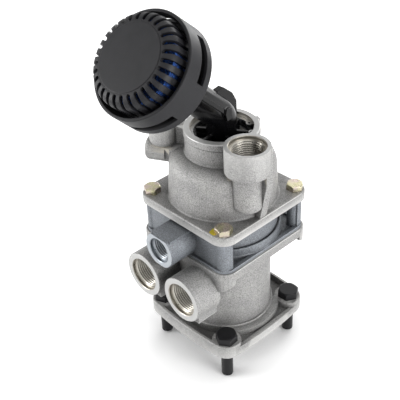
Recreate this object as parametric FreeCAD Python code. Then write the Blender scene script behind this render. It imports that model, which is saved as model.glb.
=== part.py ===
import FreeCAD, Part
import math
import os

# Dual circuit foot brake valve with a snap-in exhaust silencer, in millimetres.
# The origin is the centre of the mounting face on the valve axis, and +Z runs up through
# the mounting housing, the middle housing, the cover and the exhaust collar.
# The pedal pushes the plunger up from below. +X is the side of the vertical port's rib,
# -Y the side of the three ports that face one way.

# Square outline that the four flanges share
flange_side = 80.0
flange_corner_r = 10.0
flange_edge_round = 1.0
mount_flange_bow = 1.6
mount_flange_corner_drop = 1.1

# Heights of the joints between the housings
mount_flange_top = 9.5
mount_housing_top = 72.0
middle_height = 22.5
middle_top = mount_housing_top + middle_height
cover_flange_thick = 6.0
cover_flange_top = middle_top + cover_flange_thick

# Clearances
slide_gap = 0.1
piston_gap = 0.3
seat_gap = 0.05
press_gap = 0.02
snap_gap = 0.3

# How far cutters run past the face they start from
over = 1.0

# Mounting bolts, M8
mount_bolt_pitch = 62.0
mount_bolt_r = 4.0
mount_shank_r = 3.6
mount_thread_start = 1.0
mount_hole_r = 4.5
mount_bolt_reach = 22.5
mount_bolt_flats = 13.0
mount_head_height = 5.3
mount_tip_chamfer = 1.5
mount_bolt_turn = 11.0

# Cover bolts, M6
cover_bolt_pitch = 65.0
cover_bolt_r = 3.0
cover_hole_r = 3.3
cover_bolt_flats = 10.0
cover_head_height = 4.0
cover_bolt_length = 36.0
cover_tip_chamfer = 0.6
cover_bolt_turn = 17.0

# Both kinds of bolt head
head_chamfer_angle = 30.0
head_crown_share = 0.95

# Mounting housing
body_r = 31.0
foot_step_r = 32.7
foot_step_top = 10.8
foot_step_round = 0.6
foot_ring_r = 37.2
bolt_pad_r = 9.8
end_pocket_floor = 4.8
end_rim_height = 6.4
end_rim_inner = 38.2
end_rim_slope = 1.4
long_pocket_floor = 4.0
long_pocket_rim = 2.1
long_pocket_half_length = 24.5
long_pocket_start = 20.0
top_flange_thick = 6.0
corner_block_inner = 30.0
corner_block_root = 21.0
corner_block_edge_z = 63.1
corner_block_tip_z = 57.9
piston_bore_r = 24.0
guide_bore_r = 26.0
guide_shoulder = 9.0
primary_septum_low = 52.0
septum_thick = 4.0
inlet_chamber_r = 16.0
guide_pocket_r = 19.0
primary_guide_depth = 4.5
valve_hole_r = 9.0
seat_bead_width = 1.5
seat_bead_height = 1.0

# Threaded ports: radii of the tapped wall, of the recess at the mouth and of the boss
port_big_tap_r = 10.19
port_big_recess_r = 11.3
port_big_boss_r = 15.55
port_small_tap_r = 7.19
port_small_recess_r = 8.3
port_small_boss_r = 12.1
port_recess_depth = 2.2
port_face_y = -57.3
port_depth = 16.0
mouth_chamfer = 0.4
port_edge_round = 0.5

# The two large side ports
side_port_x = 18.0
side_port_z = 53.4
side_base_half = 12.0
side_base_drop = 15.6
side_base_front = 3.4
side_base_round = 1.5
side_port_back = -38.0
side_port_root = -26.5
side_port_root_r = 2.0
side_block_half = 19.0
side_block_low = 44.5
side_block_high = 63.5
side_passage_r = 2.6
delivery_passage_x = 15.5
delivery_passage_z = 48.8
supply_passage_x = 14.0
supply_passage_z = 59.0
transfer_hole_r = 1.4
transfer_hole_radius = 22.0

# Middle housing
middle_flange_thick = 1.8
middle_flange_inset = 1.5
middle_edge_round = 0.4
middle_drum_r = 35.3
middle_ring_r = 37.3
middle_ring_height = 7.6
middle_ring_round = 0.6
middle_ring_groove = 1.0
middle_ring_groove_depth = 1.5
middle_bead_proud = 0.6
middle_bead_height = 2.4
middle_pocket_floor = 0.5
middle_rim = 2.9
middle_wall_y = 36.6
post_half = 37.6
post_corner_r = 7.0
post_inner = 29.9
post_bolt_wall = 1.4
relay_bore_r = 28.0
middle_floor_thick = 4.5
middle_floor_top = mount_housing_top + middle_floor_thick
middle_hole_r = 9.5
stop_ring_r = 13.0
stop_ring_height = 1.5
stop_ring_top = middle_floor_top + stop_ring_height
small_port_z = 83.1
small_port_plate_half = 8.8
small_port_plate_set_back = 2.0
small_port_plate_z = 92.8
small_passage_r = 2.5
small_passage_z = 80.0

# Cover
collar_top = 148.0
dome_foot_r = 35.6
dome_foot_fillet = 1.0
dome_shoulder_r = 34.2
dome_shoulder_drop = 26.0
dome_shoulder_z = collar_top - dome_shoulder_drop
neck_r = 23.4
neck_foot_round = 0.9
neck_band_r = 23.9
neck_band_height = 4.9
neck_band_z = collar_top - neck_band_height
neck_band_slope = 0.3
neck_groove_depth = 0.5
neck_groove_height = 0.6
collar_bore_r = 20.0
collar_floor = 137.0
collar_edge = 0.7
delivery_chamber_r = 28.0
secondary_septum_low = 118.0
supply_chamber_r = 15.0
secondary_guide_depth = 4.5
secondary_guide_r = 18.0
collar_lug_angle = 66.0
collar_lug_width = 4.0
collar_lug_proud = 1.0
collar_lug_round = 0.6

# Vertical port on the cover
vert_port_x = 32.2
vert_port_y = -11.0
vert_port_top = 151.5
vert_head_r = 14.05
vert_head_low = 133.8
vert_neck_r = 9.3
vert_neck_low = 107.7
vert_port_depth = 17.5
vert_drill_r = 4.5
vert_drill_low = 112.5
vert_passage_r = 3.5
vert_passage_z = 113.8
vert_block_x = 12.2
vert_block_y = 9.1
rib_thick = 5.8
rib_foot_x = 39.2
rib_shoulder_z = 126.0
vert_head_round = 0.8
vert_neck_round = 3.0
vert_block_round = 1.0

# Side boss on the cover, with a small vertical port on its end
boss_angle = 208.0
boss_z = 125.5
boss_r = 8.0
boss_end = 50.3
boss_end_round = 2.5
boss_port_distance = 38.4
boss_port_r = 9.7
boss_port_rise = 19.5
boss_port_top = boss_z + boss_port_rise
boss_port_depth = 12.5
boss_heel_rise = 4.5
boss_heel_round = 4.5
boss_groove_at = 34.6
boss_groove_width = 3.2
boss_groove_depth = 1.0
boss_passage_r = 2.8
boss_web_half = 3.0
boss_web_rise = 21.0

# Strokes at full pedal travel
plunger_travel = 10.0
piston_travel = 3.5
valve_travel = 2.0
exhaust_lift = piston_travel - valve_travel + slide_gap

# Plunger, its guide and what closes the bore from below
plunger_r = 9.9
plunger_end_chamfer = 1.0
plunger_seat_r = 5.0
plunger_seat_depth = 2.0
plunger_flange_r = 15.0
plunger_flange_thick = 4.0
plunger_pin_r = 2.9
plunger_pin_height = 6.5
guide_low = 2.6
guide_hub_low = 0.4
boot_groove_r = 8.7
boot_groove_width = 2.4
boot_room = 2.3
boot_groove_high = guide_hub_low - plunger_travel - boot_room
boot_groove_low = boot_groove_high - boot_groove_width
plunger_end_length = 2.2
plunger_low = boot_groove_low - plunger_end_length
guide_hub_r = 14.5
bush_wall = 2.0
circlip_thick = 1.4
circlip_groove_extra = 0.2
circlip_depth = 1.4
circlip_band = 3.4
circlip_gap_half_angle = 14.0
circlip_eye_r = 2.1
circlip_eye_hole_r = 1.0
circlip_eye_inset = 0.84
circlip_eye_turn = 3.0
guide_clip_angle = 90.0
collar_clip_angle = 52.0

# Dust boot
boot_wall = 1.1
boot_bead_r = 17.0
boot_wave_r = 15.2
boot_valley_r = 12.4
boot_waves = 3

# Graduating piston and its springs
rubber_spring_r = 12.8
rubber_spring_waist = 1.6
piston_low = 27.0
piston_high = 37.0
piston_recess_r = 13.4
piston_recess_depth = 1.5
nose_r = 6.0
nose_bore_r = 4.2
nose_bore_extra = 3.0
piston_spring_r = 18.0
spring_wire_r = 0.8
coil_steps = 24
piston_spring_turns = 4.0

# Valves
valve_disc_r = 11.5
valve_disc_thick = 2.5
valve_flange_thick = 1.5
valve_stem_r = 7.0
valve_stem_bore_r = 4.2
valve_disc_bore_extra = 0.4
guide_hub_wall = 2.0
guide_hub_drop = 2.0
guide_ring_rise = 1.2
valve_spring_r = 10.3
valve_spring_wire_r = 0.5
valve_spring_turns = 2.0
primary_stem_top = 83.5
secondary_stem_top = 135.0

# Relay piston
relay_hub_height = 4.5
relay_low = stop_ring_top + relay_hub_height
relay_thick = 7.5
relay_high = relay_low + relay_thick
relay_hub_r = 10.5
relay_hub_bore_rise = 3.5
relay_ring_height = 2.0
relay_spring_r = 20.0
relay_spring_turns = 6.0

# Seal rings: half thickness of each cord section
piston_cord_r = 1.2
stem_cord_r = 0.75
joint_cord_r = 0.9
elbow_cord_r = 1.05
cord_room = 0.1
lower_joint_ring_r = 27.0
upper_joint_ring_r = 31.7

# Exhaust elbow, which stands in the collar and tilts over by the bend angle
elbow_centre_z = 155.4
elbow_bend = 47.65
elbow_turn = 3.73
elbow_bend_r = 14.0
elbow_pipe_r = 9.8
elbow_bore_r = 7.6
elbow_flange_low = 137.3
elbow_flange_thick = 4.5
elbow_rim_top = 143.2
elbow_rim_wall = 1.9
elbow_gussets = 6
elbow_gusset_thick = 2.0
elbow_gusset_top = 145.5
elbow_gusset_reach = 16.0
elbow_gusset_turn = 30.0
elbow_root = 1.0
elbow_fin_reach = 12.4
elbow_fin_thick = 4.0
elbow_fin_root_z = 156.0
elbow_fin_crest = [(11.9, 161.0), (8.2, 167.7), (0.4, 174.2), (-4.8, 173.6), (-7.0, 168.0)]
elbow_ledge_reach = 11.0
elbow_ledge_thick = 2.6
elbow_ledge_offset = 2.2
elbow_ledge_start = 9.0
elbow_tab_reach = 12.0
elbow_tab_outline = [(13.4, 2.3), (9.7, 4.7), (4.6, 0.0), (7.7, -3.3), (12.0, -0.6)]

# Silencer, measured along its own axis from the centre of the elbow's bend
grille_r = 26.8
shroud_room = 2.7
shroud_wall = 1.7
shroud_flare = 0.7
shroud_back = 63.4
shroud_front = 83.6
shroud_front_r = grille_r + shroud_room + shroud_wall
shroud_back_r = shroud_front_r + shroud_flare
shroud_back_chamfer = 1.0
shroud_front_chamfer = 0.4
shroud_plate_thick = 2.0
shroud_hub_wall = 2.6
shroud_hub_drop = 6.0
shroud_slot_low = 68.6
shroud_slot_high = 73.9
shroud_slot_centre = 30.0
shroud_slot_angle = 51.0
shroud_slots = 4
grille_face = 93.6
grille_shoulder = 6.5
grille_wall = 2.0
grille_slots = 30
grille_slot_width = 2.3
grille_slot_reach = 6.4
grille_slot_inner_r = grille_r - grille_slot_reach
grille_slot_low = 69.5
grille_disc_margin = 0.9
grille_disc_r = grille_slot_inner_r - grille_disc_margin
grille_disc_proud = 0.3
filter_outer_r = grille_r - grille_wall - snap_gap
filter_inner_r = 11.5
filter_face_drop = 5.6


def vec(x, y, z):
    return FreeCAD.Vector(x, y, z)


def cyl(r, low, high, x=0.0, y=0.0):
    return Part.makeCylinder(r, high - low, vec(x, y, low))


def tube(outer_r, inner_r, low, high):
    return cyl(outer_r, low, high).cut(cyl(inner_r, low, high))


def along_y(r, y0, y1, x, z):
    return Part.makeCylinder(r, y1 - y0, vec(x, y0, z), vec(0, 1, 0))


def box(x0, x1, y0, y1, z0, z1):
    return Part.makeBox(x1 - x0, y1 - y0, z1 - z0, vec(x0, y0, z0))


def upright(edge):
    return len(edge.Vertexes) == 2 and abs(edge.Vertexes[0].Z - edge.Vertexes[1].Z) > 0.5


def at_height(shape, z):
    return [edge for edge in shape.Edges if all(abs(v.Z - z) < 1e-6 for v in edge.Vertexes)]


def square_plate(side, corner_r, low, high, edge_round=0.0):
    half = side / 2
    plate = box(-half, half, -half, half, low, high)
    plate = plate.makeFillet(corner_r, [e for e in plate.Edges if upright(e)])
    if edge_round > 0:
        plate = plate.makeFillet(edge_round, at_height(plate, high))
    return plate


def bowed_plate(shrink, low, high):
    """The mounting flange's outline, whose sides bow out a little in the middle."""
    corner = flange_side / 2 - mount_flange_corner_drop - shrink
    middle = flange_side / 2 + mount_flange_bow - shrink
    side = Part.Arc(vec(corner, -corner, low), vec(middle, 0, low), vec(corner, corner, low)).toShape()
    outline = Part.Wire([turned(side, 90 * k) for k in range(4)])
    plate = Part.Face(outline).extrude(vec(0, 0, high - low))
    return plate.makeFillet(flange_corner_r - shrink, [e for e in plate.Edges if upright(e)])


def outline_face(points):
    """Face in the XZ plane from radius and height pairs. A pair of pairs is an arc's middle and end."""
    edges = []
    here = points[0]
    for item in points[1:] + points[:1]:
        if isinstance(item[0], tuple):
            middle, end = item
            edges.append(Part.Arc(vec(here[0], 0, here[1]), vec(middle[0], 0, middle[1]),
                                  vec(end[0], 0, end[1])).toShape())
            here = end
        else:
            edges.append(Part.makeLine(vec(here[0], 0, here[1]), vec(item[0], 0, item[1])))
            here = item
    return Part.Face(Part.Wire(edges))


def lathe(points):
    return outline_face(points).revolve(vec(0, 0, 0), vec(0, 0, 1), 360)


def arc_point(centre, r, degrees):
    angle = math.radians(degrees)
    return (centre[0] + r * math.cos(angle), centre[1] + r * math.sin(angle))


def ring(major_r, minor_r, z):
    return Part.makeTorus(major_r, minor_r, vec(0, 0, z))


def fuse_all(shapes):
    return shapes[0].multiFuse(shapes[1:]).removeSplitter()


def turned(shape, degrees):
    copy = shape.copy()
    copy.rotate(vec(0, 0, 0), vec(0, 0, 1), degrees)
    return copy


def corners(pitch):
    half = pitch / 2
    return [(half, half), (-half, half), (-half, -half), (half, -half)]


def coil(radius, wire_r, turns, low, high):
    """Wire spring from short straight lengths that meet at mitred corners."""
    rise = high - low - 2 * wire_r
    steps = round(turns * coil_steps)
    points = []
    for k in range(steps + 1):
        angle = 2 * math.pi * k / coil_steps
        points.append(vec(radius * math.cos(angle), radius * math.sin(angle),
                          low + wire_r + rise * k / steps))
    start = Part.Wire([Part.makeCircle(wire_r, points[0], points[1] - points[0])])
    return Part.makePolygon(points).makePipeShell([start], True, False, 1)


def hex_bolt(flats, head_height, shank, seat_z, x, y, spin):
    """Bolt with a chamfered hexagon head. shank is its outline as radius and height pairs."""
    across = flats / math.cos(math.radians(30))
    points = []
    for k in range(7):
        angle = math.radians(60 * k + spin)
        points.append(vec(across / 2 * math.cos(angle), across / 2 * math.sin(angle), seat_z))
    head = Part.Face(Part.makePolygon(points)).extrude(vec(0, 0, head_height))
    top = seat_z + head_height
    crown_r = flats * head_crown_share / 2
    drop = (across / 2 - crown_r) * math.tan(math.radians(head_chamfer_angle))
    crown = lathe([(0, seat_z), (across, seat_z), (across / 2, top - drop),
                   (crown_r, top), (0, top)])
    bolt = head.common(crown).fuse(lathe(shank)).removeSplitter()
    bolt.translate(vec(x, y, 0))
    return bolt


def circlip(groove_r, low, toward):
    """Internal circlip in a groove, with two eyes either side of its gap."""
    outer = groove_r - circlip_groove_extra
    inner = outer - circlip_band
    band = tube(outer, inner, low, low + circlip_thick)
    reach = 2 * groove_r
    gap = []
    for sign in (-1, 1):
        angle = math.radians(toward + sign * circlip_gap_half_angle)
        gap.append(vec(reach * math.cos(angle), reach * math.sin(angle), low))
    wedge = Part.Face(Part.makePolygon([vec(0, 0, low)] + gap + [vec(0, 0, low)]))
    clip = band.cut(wedge.extrude(vec(0, 0, circlip_thick)))
    eye_at = inner + circlip_band / 2 - circlip_eye_inset
    for sign in (-1, 1):
        angle = math.radians(toward + sign * (circlip_gap_half_angle + circlip_eye_turn))
        x = eye_at * math.cos(angle)
        y = eye_at * math.sin(angle)
        clip = clip.fuse(cyl(circlip_eye_r, low, low + circlip_thick, x, y))
        clip = clip.cut(cyl(circlip_eye_hole_r, low, low + circlip_thick, x, y))
    return clip.removeSplitter()


def port_hole(tap_r, recess_r, depth):
    """Cutter for a tapped port: its mouth is at the origin and it runs down."""
    recess_floor = -port_recess_depth
    return lathe([(0, -depth), (tap_r, -depth), (tap_r, recess_floor - mouth_chamfer),
                  (tap_r + mouth_chamfer, recess_floor), (recess_r, recess_floor),
                  (recess_r, -mouth_chamfer), (recess_r + mouth_chamfer, 0),
                  (recess_r + mouth_chamfer, over), (0, over)])


def facing_minus_y(shape, x, z):
    copy = shape.copy()
    copy.rotate(vec(0, 0, 0), vec(1, 0, 0), 90)
    copy.translate(vec(x, port_face_y, z))
    return copy


def sector(half_angle, reach, low, high, middle_angle):
    points = [vec(0, 0, low)]
    for sign in (-1, 1):
        angle = math.radians(middle_angle + sign * half_angle)
        points.append(vec(reach * math.cos(angle), reach * math.sin(angle), low))
    return Part.Face(Part.makePolygon(points + points[:1])).extrude(vec(0, 0, high - low))


def seat_cut(septum_low, chamber_r, chamber_top):
    """Hollow from the valve hole up through a supply chamber, leaving the raised seat bead."""
    floor = septum_low + septum_thick
    bead_top = floor + seat_bead_height
    bead_r = valve_hole_r + seat_bead_width
    return lathe([(0, septum_low), (valve_hole_r, septum_low), (valve_hole_r, bead_top),
                  (bead_r, bead_top), (bead_r, floor), (chamber_r, floor),
                  (chamber_r, chamber_top), (0, chamber_top)])


def joint_groove(major_r, face_z):
    half = joint_cord_r + cord_room
    return tube(major_r + half, major_r - half, face_z - 2 * joint_cord_r - cord_room, face_z)


def corner_blocks(top):
    """Blocks under the top flange's corners, their undersides sloping down to the corner."""
    half = flange_side / 2
    side = [vec(0, -half, corner_block_tip_z), vec(0, -corner_block_inner, corner_block_edge_z),
            vec(0, -corner_block_inner, top + over), vec(0, -half, top + over)]
    block = Part.Face(Part.makePolygon(side + side[:1])).extrude(vec(half - corner_block_root, 0, 0))
    block.translate(vec(corner_block_root, 0, 0))
    outline = square_plate(flange_side, flange_corner_r, corner_block_tip_z, top + over)
    block = block.common(outline)
    blocks = [block, block.mirror(vec(0, 0, 0), vec(1, 0, 0))]
    return blocks + [b.mirror(vec(0, 0, 0), vec(0, 1, 0)) for b in blocks]


def mounting_flange():
    """Flange with a low rim between the bolt pads at its two ends and pockets along the sides."""
    top = mount_flange_top
    flange = bowed_plate(0, 0, top)
    flange = flange.makeFillet(flange_edge_round, at_height(flange, top))
    pads = [cyl(bolt_pad_r, 0, top, x, y) for x, y in corners(mount_bolt_pitch)]
    reach = flange_side
    half = mount_bolt_pitch / 2
    rim_foot = end_rim_inner - end_rim_slope
    side = [vec(0, -half, end_pocket_floor), vec(rim_foot, -half, end_pocket_floor),
            vec(end_rim_inner, -half, end_rim_height), vec(reach, -half, end_rim_height),
            vec(reach, -half, top + over), vec(0, -half, top + over)]
    room = Part.Face(Part.makePolygon(side + side[:1])).extrude(vec(0, 2 * half, 0))
    room = room.cut([cyl(foot_ring_r, 0, top + over)] + pads)
    long_room = bowed_plate(long_pocket_rim, long_pocket_floor, top + over)
    long_room = long_room.common(box(-long_pocket_half_length, long_pocket_half_length,
                                     long_pocket_start, reach, 0, top + over))
    long_room = long_room.cut([cyl(foot_step_r, 0, top + over)] + pads)
    return flange.cut([room, turned(room, 180), long_room, turned(long_room, 180)])


def side_port_barrels():
    solids = []
    for side in (-1, 1):
        x = side * side_port_x
        barrel = along_y(port_big_boss_r, port_face_y, side_port_back, x, side_port_z)
        solids.append(barrel.makeFillet(port_edge_round,
                                        [e for e in barrel.Edges
                                         if abs(e.BoundBox.YMax - port_face_y) < 1e-6]))
        solids.append(Part.makeCone(port_big_boss_r, side_port_root_r,
                                    side_port_root - side_port_back,
                                    vec(x, side_port_back, side_port_z), vec(0, 1, 0)))
        base = box(x - side_base_half, x + side_base_half, port_face_y + side_base_front,
                   side_port_back, side_port_z - side_base_drop, side_port_z)
        corner_edges = at_height(base, side_port_z - side_base_drop)
        solids.append(base.makeFillet(side_base_round, corner_edges))
    return solids


def mounting_housing():
    step = cyl(foot_step_r, 0, foot_step_top)
    step = step.makeFillet(foot_step_round, at_height(step, foot_step_top))
    top_flange_low = mount_housing_top - top_flange_thick
    solids = [mounting_flange(), step, cyl(body_r, 0, mount_housing_top),
              square_plate(flange_side, flange_corner_r, top_flange_low, mount_housing_top,
                           flange_edge_round)]
    solids += corner_blocks(top_flange_low)
    solids.append(box(-side_block_half, side_block_half, side_port_back, -body_r / 2,
                      side_block_low, side_block_high))
    shell = fuse_all(solids + side_port_barrels())
    cuts = [cyl(guide_bore_r, -over, guide_shoulder), cyl(piston_bore_r, 0, primary_septum_low),
            seat_cut(primary_septum_low, inlet_chamber_r, mount_housing_top),
            cyl(guide_pocket_r, mount_housing_top - primary_guide_depth, mount_housing_top + over),
            cyl(guide_bore_r + circlip_depth, circlip_low, circlip_low + circlip_thick
                + circlip_groove_extra),
            joint_groove(lower_joint_ring_r, mount_housing_top),
            cyl(transfer_hole_r, primary_septum_low - over, mount_housing_top + over, 0,
                transfer_hole_radius),
            along_y(side_passage_r, port_face_y + port_depth - over, -valve_hole_r,
                    delivery_passage_x, delivery_passage_z),
            along_y(side_passage_r, port_face_y + port_depth - over, 0, -supply_passage_x,
                    supply_passage_z)]
    for side in (-1, 1):
        hole = port_hole(port_big_tap_r, port_big_recess_r, port_depth)
        cuts.append(facing_minus_y(hole, side * side_port_x, side_port_z))
    for x, y in corners(mount_bolt_pitch):
        cuts.append(cyl(mount_hole_r, -over, mount_flange_top + over, x, y))
    for x, y in corners(cover_bolt_pitch):
        cuts.append(cyl(cover_bolt_r + seat_gap, cover_flange_top - cover_bolt_length - over,
                        mount_housing_top + over, x, y))
    return shell.cut(cuts)


def middle_flange():
    top = mount_housing_top + middle_flange_thick
    side = flange_side - 2 * middle_flange_inset
    flange = square_plate(side, flange_corner_r - middle_flange_inset, mount_housing_top, top,
                          middle_edge_round)
    inside = side / 2 - middle_rim
    pocket = box(0, inside, -post_inner, post_inner, mount_housing_top + middle_pocket_floor, top)
    pocket = pocket.cut(cyl(middle_ring_r, mount_housing_top, top))
    for angle in (0, 90, 180):
        flange = flange.cut(turned(pocket, angle))
    return flange


def middle_drum():
    """Drum with a ring around its foot, a bead below the ring and a groove above it."""
    low = mount_housing_top
    ring_top = low + middle_ring_height
    step = cyl(middle_ring_r, low, ring_top)
    step = step.makeFillet(middle_ring_round, at_height(step, ring_top))
    step = step.cut(cyl(middle_drum_r + middle_ring_groove, ring_top - middle_ring_groove_depth,
                        ring_top))
    bead = cyl(middle_ring_r + middle_bead_proud, low, low + middle_bead_height)
    bead = bead.makeFillet(middle_bead_proud, at_height(bead, low + middle_bead_height))
    return [cyl(middle_drum_r, low, middle_top), step, bead]


def middle_housing():
    posts = box(-post_half, post_half, -middle_wall_y, post_half, mount_housing_top, middle_top)
    posts = posts.makeFillet(post_corner_r, [e for e in posts.Edges if upright(e)])
    reach = flange_side
    posts = posts.cut([box(-reach, reach, -post_inner, post_inner, 0, middle_top + over),
                       box(-post_inner, post_inner, 0, reach, 0, middle_top + over)])
    pillars = [cyl(cover_hole_r + post_bolt_wall, mount_housing_top, middle_top, x, y)
               for x, y in corners(cover_bolt_pitch)]
    barrel = along_y(port_small_boss_r, port_face_y, -middle_drum_r / 2, 0, small_port_z)
    barrel = barrel.makeFillet(port_edge_round, [e for e in barrel.Edges
                                                 if abs(e.BoundBox.YMax - port_face_y) < 1e-6])
    plate = box(-small_port_plate_half, small_port_plate_half,
                port_face_y + small_port_plate_set_back, -middle_drum_r / 2, small_port_z,
                small_port_plate_z)
    above = box(-reach, reach, -reach, 0, small_port_plate_z, middle_top + reach)
    barrel = barrel.fuse(plate).cut(above)
    shell = fuse_all([middle_flange(), posts, barrel] + pillars + middle_drum())
    below = cyl(reach, 0, mount_housing_top)
    cuts = [below, cyl(relay_bore_r, middle_floor_top, middle_top + over).cut(
            cyl(stop_ring_r, middle_floor_top, stop_ring_top)),
            cyl(middle_hole_r, mount_housing_top - over, stop_ring_top + over),
            joint_groove(upper_joint_ring_r, middle_top),
            cyl(transfer_hole_r, mount_housing_top - over, middle_floor_top + over, 0,
                transfer_hole_radius),
            facing_minus_y(port_hole(port_small_tap_r, port_small_recess_r, port_depth), 0,
                           small_port_z),
            along_y(small_passage_r, port_face_y + port_depth - over, -relay_bore_r / 2, 0,
                    small_passage_z)]
    for x, y in corners(cover_bolt_pitch):
        cuts.append(cyl(cover_hole_r, mount_housing_top - over, middle_top + over, x, y))
    return shell.cut(cuts)


def cover_shell():
    fillet = dome_foot_fillet
    foot = (dome_foot_r + fillet, cover_flange_top + fillet)
    shoulder = dome_shoulder_r - neck_r - neck_foot_round
    neck_foot_z = dome_shoulder_z + shoulder
    centre = (neck_r + neck_foot_round, dome_shoulder_z)
    return lathe([(0, middle_top + over), (dome_foot_r + fillet, middle_top + over),
                  (dome_foot_r + fillet, cover_flange_top),
                  (arc_point(foot, fillet, 225), arc_point(foot, fillet, 180)),
                  (dome_shoulder_r, dome_shoulder_z),
                  (arc_point(centre, shoulder, 45), (neck_r + neck_foot_round, neck_foot_z)),
                  (neck_r, neck_foot_z + neck_foot_round),
                  (neck_r, neck_band_z - neck_groove_height),
                  (neck_r - neck_groove_depth, neck_band_z),
                  (neck_band_r, neck_band_z + neck_band_slope),
                  (neck_band_r, collar_top - collar_edge),
                  (arc_point((neck_band_r - collar_edge, collar_top - collar_edge),
                             collar_edge, 45), (neck_band_r - collar_edge, collar_top)),
                  (0, collar_top)])


def vertical_port():
    x = vert_port_x
    y = vert_port_y
    head = cyl(vert_head_r, vert_head_low, vert_port_top, x, y)
    head = head.makeFillet(vert_head_round, at_height(head, vert_head_low))
    neck = cyl(vert_neck_r, vert_neck_low, vert_head_low + over, x, y)
    neck = neck.makeFillet(vert_neck_round, at_height(neck, vert_neck_low))
    block = box(x, x + vert_block_x, y, y + vert_block_y, vert_head_low, vert_port_top)
    block = block.makeFillet(vert_block_round, [e for e in block.Edges if upright(e)
                                                and e.Vertexes[0].X > x + over
                                                and e.Vertexes[0].Y > y + over])
    outer = x + vert_block_x
    side = [vec(delivery_chamber_r, 0, cover_flange_top - over),
            vec(rib_foot_x, 0, cover_flange_top - over), vec(rib_foot_x, 0, cover_flange_top),
            vec(outer, 0, rib_shoulder_z), vec(outer, 0, vert_head_low + over),
            vec(delivery_chamber_r, 0, vert_head_low + over)]
    rib = Part.Face(Part.makePolygon(side + side[:1])).extrude(vec(0, rib_thick, 0))
    rib.translate(vec(0, y + vert_block_y - rib_thick, 0))
    return [head, neck, block, rib]


def side_boss():
    root = collar_bore_r
    bar = Part.makeCylinder(boss_r, boss_end - root, vec(root, 0, boss_z), vec(1, 0, 0))
    bar = bar.makeFillet(boss_end_round, [e for e in bar.Edges
                                          if abs(e.BoundBox.XMin - boss_end) < 1e-6])
    low = boss_z + boss_heel_rise
    centre = (boss_port_r - boss_heel_round, low + boss_heel_round)
    post = lathe([(0, boss_z), (centre[0], boss_z), (centre[0], low),
                  (arc_point(centre, boss_heel_round, -45), (boss_port_r, centre[1])),
                  (boss_port_r, boss_port_top), (0, boss_port_top)])
    post.translate(vec(boss_port_distance, 0, 0))
    web = box(root, boss_port_distance, -boss_web_half, boss_web_half, boss_z,
              boss_z + boss_web_rise)
    web = web.cut(cyl(boss_port_r - over, boss_port_top, boss_z + boss_web_rise,
                      boss_port_distance, 0))
    groove = box(boss_groove_at - boss_groove_width / 2, boss_groove_at + boss_groove_width / 2,
                 -2 * boss_r, 2 * boss_r, boss_z - 2 * boss_r, low)
    core = boss_r - boss_groove_depth
    groove = groove.cut(box(root, boss_end, -core, core, boss_z - 2 * boss_r, boss_port_top))
    return turned(fuse_all([bar, post, web]).cut(groove), boss_angle)


def cover_housing():
    flange = square_plate(flange_side, flange_corner_r, middle_top, cover_flange_top,
                          flange_edge_round)
    lug = box(collar_bore_r, neck_band_r + collar_lug_proud, -collar_lug_width / 2,
              collar_lug_width / 2, dome_shoulder_z, collar_top)
    lug = lug.makeFillet(collar_lug_round, [e for e in lug.Edges if upright(e) and e.Vertexes[0].X > neck_r])
    shell = fuse_all([flange, cover_shell(), turned(lug, collar_lug_angle)]
                     + vertical_port() + [side_boss()])
    x = vert_port_x
    y = vert_port_y
    distance = math.hypot(x, y)
    toward = math.degrees(math.atan2(y, x))
    tap = port_hole(port_big_tap_r, port_big_recess_r, vert_port_depth)
    tap.translate(vec(x, y, vert_port_top))
    passage = Part.makeCylinder(vert_passage_r, distance, vec(0, 0, vert_passage_z), vec(1, 0, 0))
    small = port_hole(port_small_tap_r, port_small_recess_r, boss_port_depth)
    small.translate(vec(boss_port_distance, 0, boss_port_top))
    boss_drill = cyl(boss_passage_r, boss_z, boss_port_top - boss_port_depth + over,
                     boss_port_distance, 0)
    boss_passage = Part.makeCylinder(boss_passage_r, boss_port_distance, vec(0, 0, boss_z),
                                     vec(1, 0, 0))
    cuts = [cyl(delivery_chamber_r, middle_top - over, secondary_septum_low),
            seat_cut(secondary_septum_low, supply_chamber_r, collar_floor),
            cyl(secondary_guide_r, collar_floor - secondary_guide_depth, collar_floor + over),
            cyl(collar_bore_r, collar_floor, vert_port_top + over),
            cyl(collar_bore_r + circlip_depth, collar_clip_low,
                collar_clip_low + circlip_thick + circlip_groove_extra),
            tap, cyl(vert_drill_r, vert_drill_low, vert_port_top - vert_port_depth + over, x, y),
            turned(passage, toward), turned(small, boss_angle), turned(boss_drill, boss_angle),
            turned(boss_passage, boss_angle)]
    for bx, by in corners(cover_bolt_pitch):
        cuts.append(cyl(cover_hole_r, middle_top - over, cover_flange_top + over, bx, by))
    return shell.cut(cuts)


def cover_bolts():
    seat = cover_flange_top
    tip = seat - cover_bolt_length
    r = cover_bolt_r
    shank = [(0, tip), (r - cover_tip_chamfer, tip), (r, tip + cover_tip_chamfer),
             (r, seat + seat_gap), (0, seat + seat_gap)]
    return Part.makeCompound([hex_bolt(cover_bolt_flats, cover_head_height, shank, seat, x, y,
                                       cover_bolt_turn * k)
                              for k, (x, y) in enumerate(corners(cover_bolt_pitch))])


def mounting_bolts():
    """The thread starts a little below the mounting face, under a thinner plain shank."""
    seat = mount_flange_top
    tip = -mount_bolt_reach
    shank = [(0, tip), (mount_bolt_r - mount_tip_chamfer, tip),
             (mount_bolt_r, tip + mount_tip_chamfer), (mount_bolt_r, -mount_thread_start),
             (mount_shank_r, -mount_thread_start), (mount_shank_r, seat + seat_gap),
             (0, seat + seat_gap)]
    return Part.makeCompound([hex_bolt(mount_bolt_flats, mount_head_height, shank, seat, x, y,
                                       mount_bolt_turn * k)
                              for k, (x, y) in enumerate(corners(mount_bolt_pitch))])


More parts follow.
